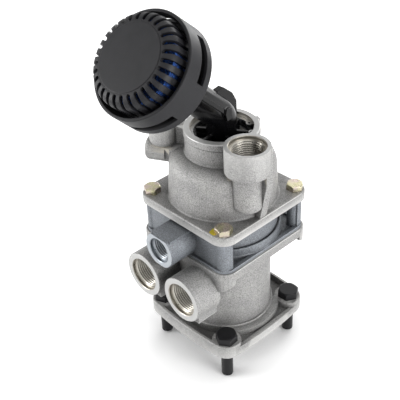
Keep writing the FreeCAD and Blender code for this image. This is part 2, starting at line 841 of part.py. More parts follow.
def plunger():
    r = plunger_r
    flange_low = guide_shoulder + seat_gap
    flange_top = flange_low + plunger_flange_thick
    pin_top = flange_top + plunger_pin_height
    seat_top = plunger_low + plunger_seat_depth
    chamfer = plunger_end_chamfer
    return lathe([(0, seat_top), (plunger_seat_r, plunger_low), (r - chamfer, plunger_low),
                  (r, plunger_low + chamfer), (r, boot_groove_low),
                  (boot_groove_r, boot_groove_low), (boot_groove_r, boot_groove_high),
                  (r, boot_groove_high), (r, flange_low), (plunger_flange_r, flange_low),
                  (plunger_flange_r, flange_top), (plunger_pin_r, flange_top),
                  (plunger_pin_r, pin_top), (0, pin_top)])


def plunger_guide():
    bush_r = plunger_r + slide_gap + bush_wall + press_gap
    outer = guide_bore_r - slide_gap
    shoulder = guide_shoulder - seat_gap
    return lathe([(bush_r, guide_hub_low), (guide_hub_r, guide_hub_low), (guide_hub_r, guide_low),
                  (outer, guide_low), (outer, shoulder), (bush_r, shoulder)])


def plunger_bush():
    inner = plunger_r + slide_gap
    return tube(inner + bush_wall, inner, guide_hub_low, guide_shoulder - seat_gap)


def dust_boot():
    """Bellows between the guide's hub and the plunger's groove, as one turned skin."""
    bead_in = guide_hub_r + slide_gap
    top = guide_low - slide_gap
    bead_low = guide_hub_low
    wave_top = bead_low - boot_wall
    wave_low = boot_groove_high + boot_wall
    step = (wave_top - wave_low) / (2 * boot_waves)
    outer = []
    for k in range(1, 2 * boot_waves):
        r = boot_valley_r if k % 2 else boot_wave_r
        outer.append((r + boot_wall, wave_top - k * step))
    inner = [(r - boot_wall, z) for r, z in reversed(outer)]
    lip_r = boot_groove_r + slide_gap
    lip_low = boot_groove_low + slide_gap
    lip_top = boot_groove_high - slide_gap
    return lathe([(bead_in, top), (boot_bead_r, top), (boot_bead_r, bead_low - boot_wall)]
                 + outer + [(plunger_r + 2 * boot_wall, lip_low), (lip_r, lip_low),
                            (lip_r, lip_top), (plunger_r + snap_gap, lip_top)]
                 + inner + [(bead_in, bead_low - snap_gap)])


def rubber_spring():
    low = guide_shoulder + plunger_flange_thick + 2 * seat_gap
    high = piston_low + piston_recess_depth - seat_gap
    r = rubber_spring_r
    hole = plunger_pin_r + snap_gap
    middle = (low + high) / 2
    return lathe([(hole, low), (r, low), ((r - rubber_spring_waist, middle), (r, high)),
                  (hole, high)])


def ring_groove(points_r, cord_r, z):
    """Four corners of a groove for a seal ring, from below, on an outside wall."""
    half = cord_r + cord_room
    floor_r = points_r - 2 * cord_r
    return [(points_r, z - half), (floor_r, z - half), (floor_r, z + half), (points_r, z + half)]


def piston_ring_z(low, high):
    return (low + high) / 2


def graduating_piston():
    outer = piston_bore_r - piston_gap
    nose_top = valve_face(primary_septum_low) - exhaust_lift
    recess = piston_low + piston_recess_depth
    return lathe([(0, recess), (piston_recess_r, recess), (piston_recess_r, piston_low),
                  (outer, piston_low)]
                 + ring_groove(outer, piston_cord_r, piston_ring_z(piston_low, piston_high))
                 + [(outer, piston_high), (nose_r, piston_high), (nose_r, nose_top),
                    (nose_bore_r, nose_top), (nose_bore_r, piston_high - nose_bore_extra),
                    (0, piston_high - nose_bore_extra)])


def bore_ring(bore_r, low, high):
    """Seal ring in a piston's groove, just clear of the bore."""
    return ring(bore_r - slide_gap - piston_cord_r, piston_cord_r, piston_ring_z(low, high))


def valve_face(septum_low):
    return septum_low + septum_thick + seat_bead_height + seat_gap


def valve_disc(septum_low):
    face = valve_face(septum_low)
    bore = valve_stem_bore_r + valve_disc_bore_extra
    return tube(valve_disc_r, bore, face, face + valve_disc_thick)


def valve_stem(septum_low, top):
    low = valve_face(septum_low) + valve_disc_thick
    flange_top = low + valve_flange_thick
    return lathe([(valve_stem_bore_r, low), (valve_disc_r, low), (valve_disc_r, flange_top),
                  (valve_stem_r, flange_top), (valve_stem_r, top), (valve_stem_bore_r, top)])


def valve_guide(pocket_r, low, top):
    """Plate with a hub around the valve's stem and an inside groove for the stem's ring."""
    bore = valve_stem_r + slide_gap
    hub_low = low - guide_hub_drop
    middle = low + guide_ring_rise
    half = stem_cord_r + cord_room / 2
    floor_r = valve_stem_r + 2 * stem_cord_r + slide_gap
    return lathe([(bore, hub_low), (bore + guide_hub_wall, hub_low), (bore + guide_hub_wall, low),
                  (pocket_r - slide_gap, low), (pocket_r - slide_gap, top), (bore, top),
                  (bore, middle + half), (floor_r, middle + half), (floor_r, middle - half),
                  (bore, middle - half)])


def stem_ring(z):
    return ring(valve_stem_r + slide_gap / 2 + stem_cord_r, stem_cord_r, z)


def relay_piston():
    outer = relay_bore_r - piston_gap
    hub_low = stop_ring_top + seat_gap
    hub_bore_top = relay_low + relay_hub_bore_rise
    bore = valve_stem_r + slide_gap
    nose_top = valve_face(secondary_septum_low) - exhaust_lift
    half = stem_cord_r + cord_room / 2
    floor_r = valve_stem_r + 2 * stem_cord_r + slide_gap
    return lathe([(bore, hub_low), (relay_hub_r, hub_low), (relay_hub_r, relay_low),
                  (outer, relay_low)]
                 + ring_groove(outer, piston_cord_r, piston_ring_z(relay_low, relay_high))
                 + [(outer, relay_high), (nose_r, relay_high), (nose_r, nose_top),
                    (nose_bore_r, nose_top), (nose_bore_r, hub_bore_top),
                    (bore, hub_bore_top), (bore, relay_ring_z + half),
                    (floor_r, relay_ring_z + half), (floor_r, relay_ring_z - half),
                    (bore, relay_ring_z - half)])


def bent_tube(r, low, end):
    """Round bar that rises on the valve axis, bends over and runs on to a distance along the tilt."""
    bend_z = elbow_centre_z - elbow_bend_r * math.tan(math.radians(elbow_bend / 2))
    start = elbow_centre_z - bend_z
    disc = Part.Face(Part.Wire([Part.makeCircle(r, vec(0, 0, bend_z))]))
    bend = disc.revolve(vec(0, -elbow_bend_r, bend_z), vec(1, 0, 0), elbow_bend)
    return fuse_all([cyl(r, low, bend_z), bend, tilted(cyl(r, start, end))])


def tilted(shape):
    """Put a shape made about +Z, measured from the bend's centre, onto the tilted axis."""
    copy = shape.copy()
    copy.rotate(vec(0, 0, 0), vec(1, 0, 0), elbow_bend)
    copy.translate(vec(0, 0, elbow_centre_z))
    return copy


def on_silencer_axis(shape):
    return turned(tilted(shape), elbow_turn)


def elbow_fin():
    """Rib on the outside of the bend, in the plane that the pipe bends in."""
    base = elbow_flange_low + elbow_flange_thick - elbow_root
    inner = elbow_pipe_r - elbow_root
    outline = [(inner, base), (elbow_fin_reach, base)] + elbow_fin_crest
    points = [vec(-elbow_fin_thick / 2, y, z) for y, z in outline + [(inner, elbow_fin_root_z)]]
    return Part.Face(Part.makePolygon(points + points[:1])).extrude(vec(elbow_fin_thick, 0, 0))


def elbow_ledges():
    """Ledge along each side of the tilted pipe, with a tab where the bend starts."""
    pieces = []
    inner = elbow_pipe_r - 2 * elbow_root
    outline = [vec(inner, offset, along) for along, offset in elbow_tab_outline]
    tab = Part.Face(Part.makePolygon(outline + outline[:1])).extrude(vec(elbow_tab_reach - inner, 0, 0))
    ledge = box(inner, elbow_ledge_reach, elbow_ledge_offset - elbow_ledge_thick,
                elbow_ledge_offset, elbow_ledge_start, shroud_back - shroud_hub_drop - over)
    for piece in (tab, ledge):
        pieces += [tilted(piece), tilted(piece.mirror(vec(0, 0, 0), vec(1, 0, 0)))]
    return pieces


def elbow():
    flange_r = collar_bore_r - piston_gap
    top = elbow_flange_low + elbow_flange_thick
    rim_in = flange_r - elbow_rim_wall
    base = lathe([(0, elbow_flange_low), (flange_r, elbow_flange_low)]
                 + ring_groove(flange_r, elbow_cord_r, elbow_ring_z)
                 + [(flange_r, elbow_rim_top), (rim_in, elbow_rim_top), (rim_in, top), (0, top)])
    solids = [base, bent_tube(elbow_pipe_r, elbow_flange_low, shroud_back + 2 * shroud_plate_thick)]
    for k in range(elbow_gussets):
        gusset = box(elbow_pipe_r - elbow_root, elbow_gusset_reach, -elbow_gusset_thick / 2,
                     elbow_gusset_thick / 2, top - elbow_root, elbow_gusset_top)
        solids.append(turned(gusset, elbow_gusset_turn + 360 * k / elbow_gussets))
    solids += [elbow_fin()] + elbow_ledges()
    body = fuse_all(solids)
    bore = bent_tube(elbow_bore_r, elbow_flange_low - over, shroud_back + 3 * shroud_plate_thick)
    return turned(body.cut(bore), elbow_turn)


def shroud():
    slope = (shroud_back_r - shroud_front_r) / (shroud_front - shroud_back)
    wall = shroud_wall
    plate_top = shroud_back + shroud_plate_thick
    hub_in = elbow_pipe_r + seat_gap
    hub_out = hub_in + shroud_hub_wall
    hub_low = shroud_back - shroud_hub_drop
    shell = lathe([(hub_in, hub_low), (hub_out, hub_low), (hub_out, shroud_back),
                   (shroud_back_r - shroud_back_chamfer, shroud_back),
                   (shroud_back_r, shroud_back + shroud_back_chamfer),
                   (shroud_front_r, shroud_front - shroud_front_chamfer),
                   (shroud_front_r - shroud_front_chamfer, shroud_front),
                   (shroud_front_r - wall, shroud_front),
                   (shroud_back_r - wall - slope * shroud_plate_thick, plate_top),
                   (hub_in, plate_top)])
    for k in range(shroud_slots):
        middle = shroud_slot_centre + 360 * k / shroud_slots
        slot = sector(shroud_slot_angle / 2, 2 * shroud_back_r, shroud_slot_low, shroud_slot_high,
                      middle)
        shell = shell.cut(slot.cut(cyl(grille_r + snap_gap, shroud_slot_low, shroud_slot_high)))
    return on_silencer_axis(shell)


def grille():
    back = shroud_back + shroud_plate_thick + seat_gap
    bend = grille_shoulder
    centre = (grille_r - bend, grille_face - bend)
    inner_bend = bend - grille_wall
    cup = lathe([(0, grille_face + grille_disc_proud), (0, grille_face - grille_wall),
                 (centre[0], grille_face - grille_wall),
                 (arc_point(centre, inner_bend, 45), (grille_r - grille_wall, centre[1])),
                 (grille_r - grille_wall, back), (grille_r, back), (grille_r, centre[1]),
                 (arc_point(centre, bend, 45), (centre[0], grille_face)),
                 (grille_disc_r, grille_face), (grille_disc_r, grille_face + grille_disc_proud)])
    half = grille_slot_width / 2
    top = grille_face + over
    slot = box(grille_slot_inner_r + half, grille_r + over, -half, half, grille_slot_low, top)
    slot = slot.fuse(cyl(half, grille_slot_low, top, grille_slot_inner_r + half, 0))
    return on_silencer_axis(cup.cut([turned(slot, 360 * k / grille_slots)
                                     for k in range(grille_slots)]))


def silencer_filter():
    back = shroud_back + 2 * shroud_plate_thick + snap_gap
    return on_silencer_axis(tube(filter_outer_r, filter_inner_r, back,
                                 grille_face - filter_face_drop))


# Heights that more than one piece needs
circlip_low = guide_low - seat_gap - circlip_thick - circlip_groove_extra / 2
collar_clip_low = elbow_rim_top + snap_gap
elbow_ring_z = elbow_flange_low + elbow_flange_thick / 2
primary_guide_low = mount_housing_top - primary_guide_depth
secondary_guide_low = collar_floor - secondary_guide_depth
relay_ring_z = stop_ring_top + relay_ring_height
primary_flange_top = valve_face(primary_septum_low) + valve_disc_thick + valve_flange_thick
secondary_flange_top = valve_face(secondary_septum_low) + valve_disc_thick + valve_flange_thick

os.makedirs("parts", exist_ok=True)
nodes = {
    "mounting_housing": mounting_housing(),
    "middle_housing": middle_housing(),
    "cover_housing": cover_housing(),
    "cover_bolts": cover_bolts(),
    "mounting_bolts": mounting_bolts(),
    "plunger": plunger(),
    "plunger_guide": plunger_guide(),
    "plunger_bush": plunger_bush(),
    "guide_circlip": circlip(guide_bore_r + circlip_depth,
                             circlip_low + circlip_groove_extra / 2, guide_clip_angle),
    "dust_boot": dust_boot(),
    "rubber_spring": rubber_spring(),
    "graduating_piston": graduating_piston(),
    "graduating_piston_ring": bore_ring(piston_bore_r, piston_low, piston_high),
    "piston_return_spring": coil(piston_spring_r, spring_wire_r, piston_spring_turns,
                                 piston_high + seat_gap, primary_septum_low - seat_gap),
    "primary_valve_stem": valve_stem(primary_septum_low, primary_stem_top),
    "primary_valve_disc": valve_disc(primary_septum_low),
    "primary_valve_spring": coil(valve_spring_r, valve_spring_wire_r, valve_spring_turns,
                                 primary_flange_top + seat_gap, primary_guide_low - seat_gap),
    "primary_valve_guide": valve_guide(guide_pocket_r, primary_guide_low,
                                       mount_housing_top - seat_gap),
    "primary_stem_ring": stem_ring(primary_guide_low + guide_ring_rise),
    "lower_joint_ring": ring(lower_joint_ring_r, joint_cord_r, mount_housing_top - joint_cord_r),
    "relay_piston": relay_piston(),
    "relay_piston_ring": bore_ring(relay_bore_r, relay_low, relay_high),
    "relay_stem_ring": stem_ring(relay_ring_z),
    "relay_return_spring": coil(relay_spring_r, spring_wire_r, relay_spring_turns,
                                relay_high + seat_gap, secondary_septum_low - seat_gap),
    "upper_joint_ring": ring(upper_joint_ring_r, joint_cord_r, middle_top - joint_cord_r),
    "secondary_valve_stem": valve_stem(secondary_septum_low, secondary_stem_top),
    "secondary_valve_disc": valve_disc(secondary_septum_low),
    "secondary_valve_spring": coil(valve_spring_r, valve_spring_wire_r, valve_spring_turns,
                                   secondary_flange_top + seat_gap,
                                   secondary_guide_low - seat_gap),
    "secondary_valve_guide": valve_guide(secondary_guide_r, secondary_guide_low,
                                         collar_floor - seat_gap),
    "secondary_stem_ring": stem_ring(secondary_guide_low + guide_ring_rise),
    "collar_circlip": circlip(collar_bore_r + circlip_depth,
                              collar_clip_low + circlip_groove_extra / 2, collar_clip_angle),
    "exhaust_elbow": elbow(),
    "elbow_ring": ring(collar_bore_r - slide_gap - elbow_cord_r, elbow_cord_r, elbow_ring_z),
    "silencer_shroud": shroud(),
    "silencer_grille": grille(),
    "silencer_filter": silencer_filter(),
}

for name, shape in nodes.items():
    shape.exportStep("parts/" + name + ".step")
    print(name, len(shape.Solids), round(shape.Volume, 1), shape.isValid())
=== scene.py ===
import math

import bpy
from mathutils import Matrix, Vector


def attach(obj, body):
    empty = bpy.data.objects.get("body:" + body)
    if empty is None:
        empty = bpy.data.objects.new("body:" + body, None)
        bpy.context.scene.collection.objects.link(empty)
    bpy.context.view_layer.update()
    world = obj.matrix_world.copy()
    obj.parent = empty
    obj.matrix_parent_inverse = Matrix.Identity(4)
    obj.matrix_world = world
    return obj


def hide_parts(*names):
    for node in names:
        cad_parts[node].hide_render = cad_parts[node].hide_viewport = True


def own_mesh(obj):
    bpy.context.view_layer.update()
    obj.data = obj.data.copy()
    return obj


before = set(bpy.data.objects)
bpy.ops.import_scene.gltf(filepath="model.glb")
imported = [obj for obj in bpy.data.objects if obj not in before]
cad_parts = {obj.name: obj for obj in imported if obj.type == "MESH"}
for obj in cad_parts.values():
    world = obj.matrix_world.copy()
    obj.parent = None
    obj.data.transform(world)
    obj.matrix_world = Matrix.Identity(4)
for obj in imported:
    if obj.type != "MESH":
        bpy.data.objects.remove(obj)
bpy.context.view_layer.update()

MM = 0.001

# The part stands on the ends of its mounting bolts
FLOOR_Z = -22.5 * MM

# How far below a port's face its tapped wall starts, in mm
PORT_RECESS = 2.2

# Ports: mouth centre, direction out of the mouth, tapped wall radius, depth of the thread, in mm
PORTS = {
    "left_side": ((-18.0, -57.3, 53.4), (0, -1, 0), 10.19, 16.0),
    "right_side": ((18.0, -57.3, 53.4), (0, -1, 0), 10.19, 16.0),
    "middle": ((0.0, -57.3, 83.1), (0, -1, 0), 7.19, 16.0),
    "top": ((32.2, -11.0, 151.5), (0, 0, 1), 10.19, 17.5),
    "boss": ((-33.905, -18.028, 145.0), (0, 0, 1), 7.19, 12.5),
}

# Cut threads, in mm: THREAD_STEP is the distance between rows of points, THREAD_START the plain
# wall above the thread, THREAD_FADE the length over which it runs out and THREAD_SKIN the gap
# between the thread's root and the wall
THREAD_PITCH = 1.5
THREAD_HEIGHT = 0.75
THREAD_STEP = 0.1875
THREAD_START = 0.3
THREAD_FADE = 0.8
THREAD_SKIN = 0.02
THREAD_SEGMENTS = 80

# A ridge's flanks are steepened by this share, and its crest is flattened by it
RIDGE_STEEPENING = 1.15


# ---- materials: shader nodes

def new_material(name):
    material = bpy.data.materials.new(name)
    material.use_nodes = True
    tree = material.node_tree
    return material, tree, tree.nodes["Principled BSDF"]


def node(tree, kind, **inputs):
    made = tree.nodes.new(kind)
    for key, value in inputs.items():
        made.inputs[key.replace("_", " ")].default_value = value
    return made


def object_coords(tree):
    return tree.nodes.new("ShaderNodeTexCoord").outputs["Object"]


def noise(tree, coords, scale, detail=3.0, roughness=0.6):
    made = node(tree, "ShaderNodeTexNoise", Scale=scale, Detail=detail, Roughness=roughness)
    tree.links.new(coords, made.inputs["Vector"])
    return made.outputs["Fac"]


def ramp(tree, value, low, high, low_color, high_color):
    made = tree.nodes.new("ShaderNodeValToRGB")
    made.color_ramp.elements[0].position = low
    made.color_ramp.elements[0].color = (*low_color, 1)
    made.color_ramp.elements[1].position = high
    made.color_ramp.elements[1].color = (*high_color, 1)
    tree.links.new(value, made.inputs["Fac"])
    return made.outputs["Color"]


def spread(tree, value, low, high, to_low, to_high):
    made = tree.nodes.new("ShaderNodeMapRange")
    made.inputs["From Min"].default_value = low
    made.inputs["From Max"].default_value = high
    made.inputs["To Min"].default_value = to_low
    made.inputs["To Max"].default_value = to_high
    tree.links.new(value, made.inputs["Value"])
    return made.outputs["Result"]


def mix_color(tree, fac, a, b, mode="MIX"):
    made = tree.nodes.new("ShaderNodeMix")
    made.data_type = "RGBA"
    made.blend_type = mode
    if isinstance(fac, float):
        made.inputs["Factor"].default_value = fac
    else:
        tree.links.new(fac, made.inputs["Factor"])
    for socket, value in ((made.inputs["A"], a), (made.inputs["B"], b)):
        if isinstance(value, tuple):
            socket.default_value = (*value, 1)
        else:
            tree.links.new(value, socket)
    return made.outputs["Result"]


def bump(tree, height, strength, distance, normal=None):
    made = node(tree, "ShaderNodeBump", Strength=strength, Distance=distance)
    tree.links.new(height, made.inputs["Height"])
    if normal is not None:
        tree.links.new(normal, made.inputs["Normal"])
    return made.outputs["Normal"]


def rounded(tree, radius):
    """Normals that make sharp edges look rounded."""
    made = tree.nodes.new("ShaderNodeBevel")
    made.samples = 6
    made.inputs["Radius"].default_value = radius
    return made.outputs["Normal"]


def painted_shade_share(tree, reach, closed, opened, darkest):
    """Painted shade: a share from darkest in a hollow to 1 where nothing stands within reach."""
    hollow = tree.nodes.new("ShaderNodeAmbientOcclusion")
    hollow.samples = 4
    hollow.inputs["Distance"].default_value = reach
    return spread(tree, hollow.outputs["AO"], closed, opened, darkest, 1.0)


def shade(color, share):
    return tuple(min(c * share, 1.0) for c in color)


# ---- materials: recipes. A _SCALE is a texture's scale, a _RANGE the part of its values that is
# used, a _SHADE a share of the base colour, and depths and radii are in m

CAST_GRAIN_SCALE, CAST_GRAIN_RANGE = 1500.0, (0.36, 0.66)
CAST_GRAIN_SHADES = 0.62, 1.42
CAST_GRAIN_ROUGHNESS = 0.60, 0.42
CAST_GRAIN_DEPTH = 0.00035
CAST_CLOUD_SCALE, CAST_CLOUD_RANGE = 90.0, (0.35, 0.70)
CAST_CLOUD_TONES = (0.84, 0.84, 0.85), (1.06, 1.06, 1.05)
CAST_CLOUD_DEPTH = 0.0008
CAST_PIT_SCALE, CAST_PIT_RANGE, CAST_PIT_SHADE = 420.0, (0.66, 0.74), 0.55
# Painted shade in hollows: ambient occlusion reach in m, the part of its values used, and the
# darkest share
CAST_PAINTED_SHADE_REACH, CAST_PAINTED_SHADE_RANGE, CAST_PAINTED_SHADE_DARKEST = 0.012, (0.35, 0.95), 0.42
# Painted highlight on sharp edges: pointiness range used, lighter share of the base colour, and
# most mix
CAST_PAINTED_HIGHLIGHT_RANGE, CAST_PAINTED_HIGHLIGHT_SHADE, CAST_PAINTED_HIGHLIGHT_MOST = (0.54, 0.62), 2.0, 0.7
CAST_EDGE_R = 0.0005
GLOSS_RANGE = 0.3, 0.7


def cast_material(name, base, metallic, daubs=()):
    """Sandblasted aluminium casting: fine grain, cloudy tone, shallow pits, painted highlights on
    sharp edges and painted shade in hollows."""
    material, tree, shader = new_material(name)
    coords = object_coords(tree)
    grain = noise(tree, coords, CAST_GRAIN_SCALE, 3.0, 0.75)
    cloud = noise(tree, coords, CAST_CLOUD_SCALE, 4.0, 0.65)
    dark, light = (shade(base, share) for share in CAST_GRAIN_SHADES)
    color = ramp(tree, grain, *CAST_GRAIN_RANGE, dark, light)
    tone = ramp(tree, cloud, *CAST_CLOUD_RANGE, *CAST_CLOUD_TONES)
    color = mix_color(tree, 1.0, color, tone, "MULTIPLY")
    pits = noise(tree, coords, CAST_PIT_SCALE, 2.0, 0.5)
    pits = spread(tree, pits, *CAST_PIT_RANGE, 0.0, 1.0)
    color = mix_color(tree, pits, color, shade(base, CAST_PIT_SHADE))
    # Painted shade: the colour is darkened where ambient occlusion finds nearby surfaces
    painted_shade = painted_shade_share(tree, CAST_PAINTED_SHADE_REACH, *CAST_PAINTED_SHADE_RANGE, CAST_PAINTED_SHADE_DARKEST)
    color = mix_color(tree, 1.0, color, painted_shade, "MULTIPLY")
    # Painted highlight: sharp edges are mixed towards a lighter colour
    pointed = tree.nodes.new("ShaderNodeNewGeometry").outputs["Pointiness"]
    painted_highlight = spread(tree, pointed, *CAST_PAINTED_HIGHLIGHT_RANGE, 0.0, CAST_PAINTED_HIGHLIGHT_MOST)
    color = mix_color(tree, painted_highlight, color, shade(base, CAST_PAINTED_HIGHLIGHT_SHADE))
    for place, radius in daubs:
        color = mix_color(tree, daub_mask(tree, coords, place, radius), color, DAUB_YELLOW)
    tree.links.new(color, shader.inputs["Base Color"])
    shader.inputs["Metallic"].default_value = metallic
    rough = spread(tree, grain, *GLOSS_RANGE, *CAST_GRAIN_ROUGHNESS)
    tree.links.new(rough, shader.inputs["Roughness"])
    soft = bump(tree, cloud, 0.3, CAST_CLOUD_DEPTH, rounded(tree, CAST_EDGE_R))
    tree.links.new(bump(tree, grain, 0.8, CAST_GRAIN_DEPTH, soft), shader.inputs["Normal"])
    return material


DAUB_YELLOW = (0.62, 0.50, 0.03)
DAUB_WOBBLE_SCALE, DAUB_WOBBLE = 260.0, 0.9
DAUB_EDGE = 1.42, 1.50


def daub_mask(tree, coords, place, radius):
    """1 inside a ragged paint mark round a place, 0 outside it."""
    wobble = node(tree, "ShaderNodeTexNoise", Scale=DAUB_WOBBLE_SCALE)
    tree.links.new(coords, wobble.inputs["Vector"])
    near = tree.nodes.new("ShaderNodeVectorMath")
    near.operation = "DISTANCE"
    near.inputs[1].default_value = place
    tree.links.new(coords, near.inputs[0])
    ragged = tree.nodes.new("ShaderNodeMath")
    ragged.operation = "MULTIPLY_ADD"
    ragged.inputs[1].default_value = radius * DAUB_WOBBLE
    tree.links.new(wobble.outputs["Fac"], ragged.inputs[0])
    tree.links.new(near.outputs["Value"], ragged.inputs[2])
    inner, outer = (radius * share for share in DAUB_EDGE)
    return spread(tree, ragged.outputs["Value"], inner, outer, 1.0, 0.0)


MACHINED_CLOUD_SCALE, MACHINED_CLOUD_RANGE = 160.0, (0.35, 0.7)
MACHINED_SHADES = 0.94, 1.04
MACHINED_METALLIC = 0.35
MACHINED_GLOSS_SHARES = 0.85, 1.2
TOOL_LINE_SCALE, TOOL_LINE_DEPTH = 2600.0, 0.00006
MACHINED_EDGE_R = 0.0002


def machined_material(name, base, rough):
    """Turned face: fine tool lines and a little cloud in the tone."""
    material, tree, shader = new_material(name)
    coords = object_coords(tree)
    cloud = noise(tree, coords, MACHINED_CLOUD_SCALE, 3.0, 0.5)
    dark, light = (shade(base, share) for share in MACHINED_SHADES)
    color = ramp(tree, cloud, *MACHINED_CLOUD_RANGE, dark, light)
    tree.links.new(color, shader.inputs["Base Color"])
    shader.inputs["Metallic"].default_value = MACHINED_METALLIC
    smooth, dull = (rough * share for share in MACHINED_GLOSS_SHARES)
    tree.links.new(spread(tree, cloud, *GLOSS_RANGE, smooth, dull), shader.inputs["Roughness"])
    fine = noise(tree, coords, TOOL_LINE_SCALE, 2.0, 0.5)
    tree.links.new(bump(tree, fine, 0.2, TOOL_LINE_DEPTH, rounded(tree, MACHINED_EDGE_R)),
                   shader.inputs["Normal"])
    return material


METAL_CLOUD_SHARE, METAL_CLOUD_RANGE = 0.25, (0.3, 0.72)
METAL_GLOSS_SHARES = 0.75, 1.3
METAL_RELIEF_DEPTH = 0.0001
TINT_SCALE, TINT_RANGE, TINT_MOST = 190.0, (0.42, 0.62), 0.75
# Painted shade in thread grooves: the part of the AO values used, and the darkest share
GROOVE_PAINTED_SHADE_RANGE, GROOVE_PAINTED_SHADE_DARKEST = (0.40, 0.85), 0.05


def metal_material(name, base, rough, metallic=1.0, grain=900.0, vary=0.10, edge=0.0002,
                   tint=None, painted_shade_reach=None, relief=0.25):
    """Bare or plated metal. tint adds patches of a second colour, as in yellow zinc plating, and
    painted_shade_reach paints shade into grooves that deep."""
    material, tree, shader = new_material(name)
    coords = object_coords(tree)
    cloud = noise(tree, coords, grain * METAL_CLOUD_SHARE, 4.0, 0.6)
    color = ramp(tree, cloud, *METAL_CLOUD_RANGE, shade(base, 1 - vary), shade(base, 1 + vary))
    if tint is not None:
        patches = noise(tree, coords, TINT_SCALE, 3.0, 0.5)
        color = mix_color(tree, spread(tree, patches, *TINT_RANGE, 0.0, TINT_MOST), color, tint)
    # Painted shade: grooves are darkened by ambient occlusion
    if painted_shade_reach is not None:
        groove_shade = painted_shade_share(tree, painted_shade_reach, *GROOVE_PAINTED_SHADE_RANGE, GROOVE_PAINTED_SHADE_DARKEST)
        color = mix_color(tree, 1.0, color, groove_shade, "MULTIPLY")
    tree.links.new(color, shader.inputs["Base Color"])
    shader.inputs["Metallic"].default_value = metallic
    smooth, dull = (rough * share for share in METAL_GLOSS_SHARES)
    tree.links.new(spread(tree, cloud, *GLOSS_RANGE, smooth, dull), shader.inputs["Roughness"])
    fine = noise(tree, coords, grain, 3.0, 0.6)
    tree.links.new(bump(tree, fine, relief, METAL_RELIEF_DEPTH, rounded(tree, edge)),
                   shader.inputs["Normal"])
    return material


PLASTIC_CLOUD_SCALE = 120.0
PLASTIC_SHADES = 0.88, 1.14
PLASTIC_GLOSS_SHARES = 0.85, 1.15


def plastic_material(name, base, rough, specular, grain, depth, edge):
    """Moulded plastic or rubber with a fine texture and slight variation in gloss."""
    material, tree, shader = new_material(name)
    coords = object_coords(tree)
    cloud = noise(tree, coords, PLASTIC_CLOUD_SCALE, 3.0, 0.6)
    dark, light = (shade(base, share) for share in PLASTIC_SHADES)
    tree.links.new(ramp(tree, cloud, *GLOSS_RANGE, dark, light), shader.inputs["Base Color"])
    shader.inputs["Specular IOR Level"].default_value = specular
    smooth, dull = (rough * share for share in PLASTIC_GLOSS_SHARES)
    tree.links.new(spread(tree, cloud, *GLOSS_RANGE, smooth, dull), shader.inputs["Roughness"])
    fine = noise(tree, coords, grain, 2.0, 0.5)
    tree.links.new(bump(tree, fine, 0.3, depth, rounded(tree, edge)), shader.inputs["Normal"])
    return material


FOAM_CELL_SCALE, FOAM_CELL_RANGE = 750.0, (0.1, 0.7)
FOAM_SHADES = 1.7, 0.35
FOAM_ROUGHNESS, FOAM_CELL_DEPTH = 0.9, 0.0005


def foam_material(name, base):
    """Open foam: lighter and darker cells with a deep relief."""
    material, tree, shader = new_material(name)
    cells = node(tree, "ShaderNodeTexVoronoi", Scale=FOAM_CELL_SCALE)
    tree.links.new(object_coords(tree), cells.inputs["Vector"])
    light, dark = (shade(base, share) for share in FOAM_SHADES)
    color = ramp(tree, cells.outputs["Distance"], *FOAM_CELL_RANGE, light, dark)
    tree.links.new(color, shader.inputs["Base Color"])
    shader.inputs["Roughness"].default_value = FOAM_ROUGHNESS
    tree.links.new(bump(tree, cells.outputs["Distance"], 0.8, FOAM_CELL_DEPTH),
                   shader.inputs["Normal"])
    return material


# ---- materials of the part

SILVER = (0.335, 0.332, 0.325)
BLUE_GREY = (0.205, 0.22, 0.24)

# Yellow paint marks: place and radius in m
COVER_DAUB = (Vector((28.6, -35.8, 100.7)) * MM, 3.2 * MM)
COLLAR_DAUB = (Vector((15.5, 13.8, 146.5)) * MM, 3.0 * MM)

# Cut threads get painted shade in their grooves
CUT_THREAD = {"grain": 200.0, "vary": 0.05, "edge": 0.00003, "painted_shade_reach": 0.0016,
              "relief": 0.02}

CAST = cast_material("cast_silver", SILVER, 0.28, [COVER_DAUB, COLLAR_DAUB])
CAST_LOW = cast_material("cast_silver_low", SILVER, 0.28)
CAST_MIDDLE = cast_material("cast_blue_grey", BLUE_GREY, 0.30)
MACHINED = machined_material("machined_face", (0.50, 0.50, 0.49), 0.34)
MACHINED_MIDDLE = machined_material("machined_face_middle", (0.40, 0.43, 0.46), 0.32)
BORE = metal_material("bored_wall", (0.36, 0.34, 0.30), 0.34, grain=1200.0)
BORE_MIDDLE = metal_material("bored_wall_middle", (0.26, 0.28, 0.30), 0.34, grain=1200.0)
THREAD = metal_material("cut_thread", (0.46, 0.44, 0.395), 0.30, **CUT_THREAD)
THREAD_MIDDLE = metal_material("cut_thread_middle", (0.27, 0.29, 0.31), 0.30, **CUT_THREAD)
ZINC = metal_material("yellow_zinc", (0.50, 0.47, 0.31), 0.26, metallic=0.95, vary=0.12,
                      edge=0.0004, tint=(0.50, 0.41, 0.40))
BLACK_OXIDE = plastic_material("black_oxide", (0.008, 0.008, 0.009), 0.36, specular=0.22,
                               grain=1100.0, depth=0.00008, edge=0.0004)
STEEL = metal_material("turned_steel", (0.55, 0.55, 0.56), 0.28)
SPRING = metal_material("spring_steel", (0.26, 0.26, 0.26), 0.30)
BRONZE = metal_material("sintered_bronze", (0.50, 0.34, 0.14), 0.42)
PISTON = metal_material("turned_alloy", (0.58, 0.58, 0.58), 0.30)
GLOSS_BLACK = plastic_material("gloss_black", (0.003, 0.003, 0.0035), 0.13, specular=0.22,
                               grain=900.0, depth=0.00002, edge=0.0005)
CHARCOAL = plastic_material("charcoal", (0.017, 0.017, 0.019), 0.45, specular=0.20,
                            grain=2400.0, depth=0.00004, edge=0.0005)
RUBBER = plastic_material("black_rubber", (0.012, 0.012, 0.012), 0.62, specular=0.20,
                          grain=1500.0, depth=0.00005, edge=0.0002)
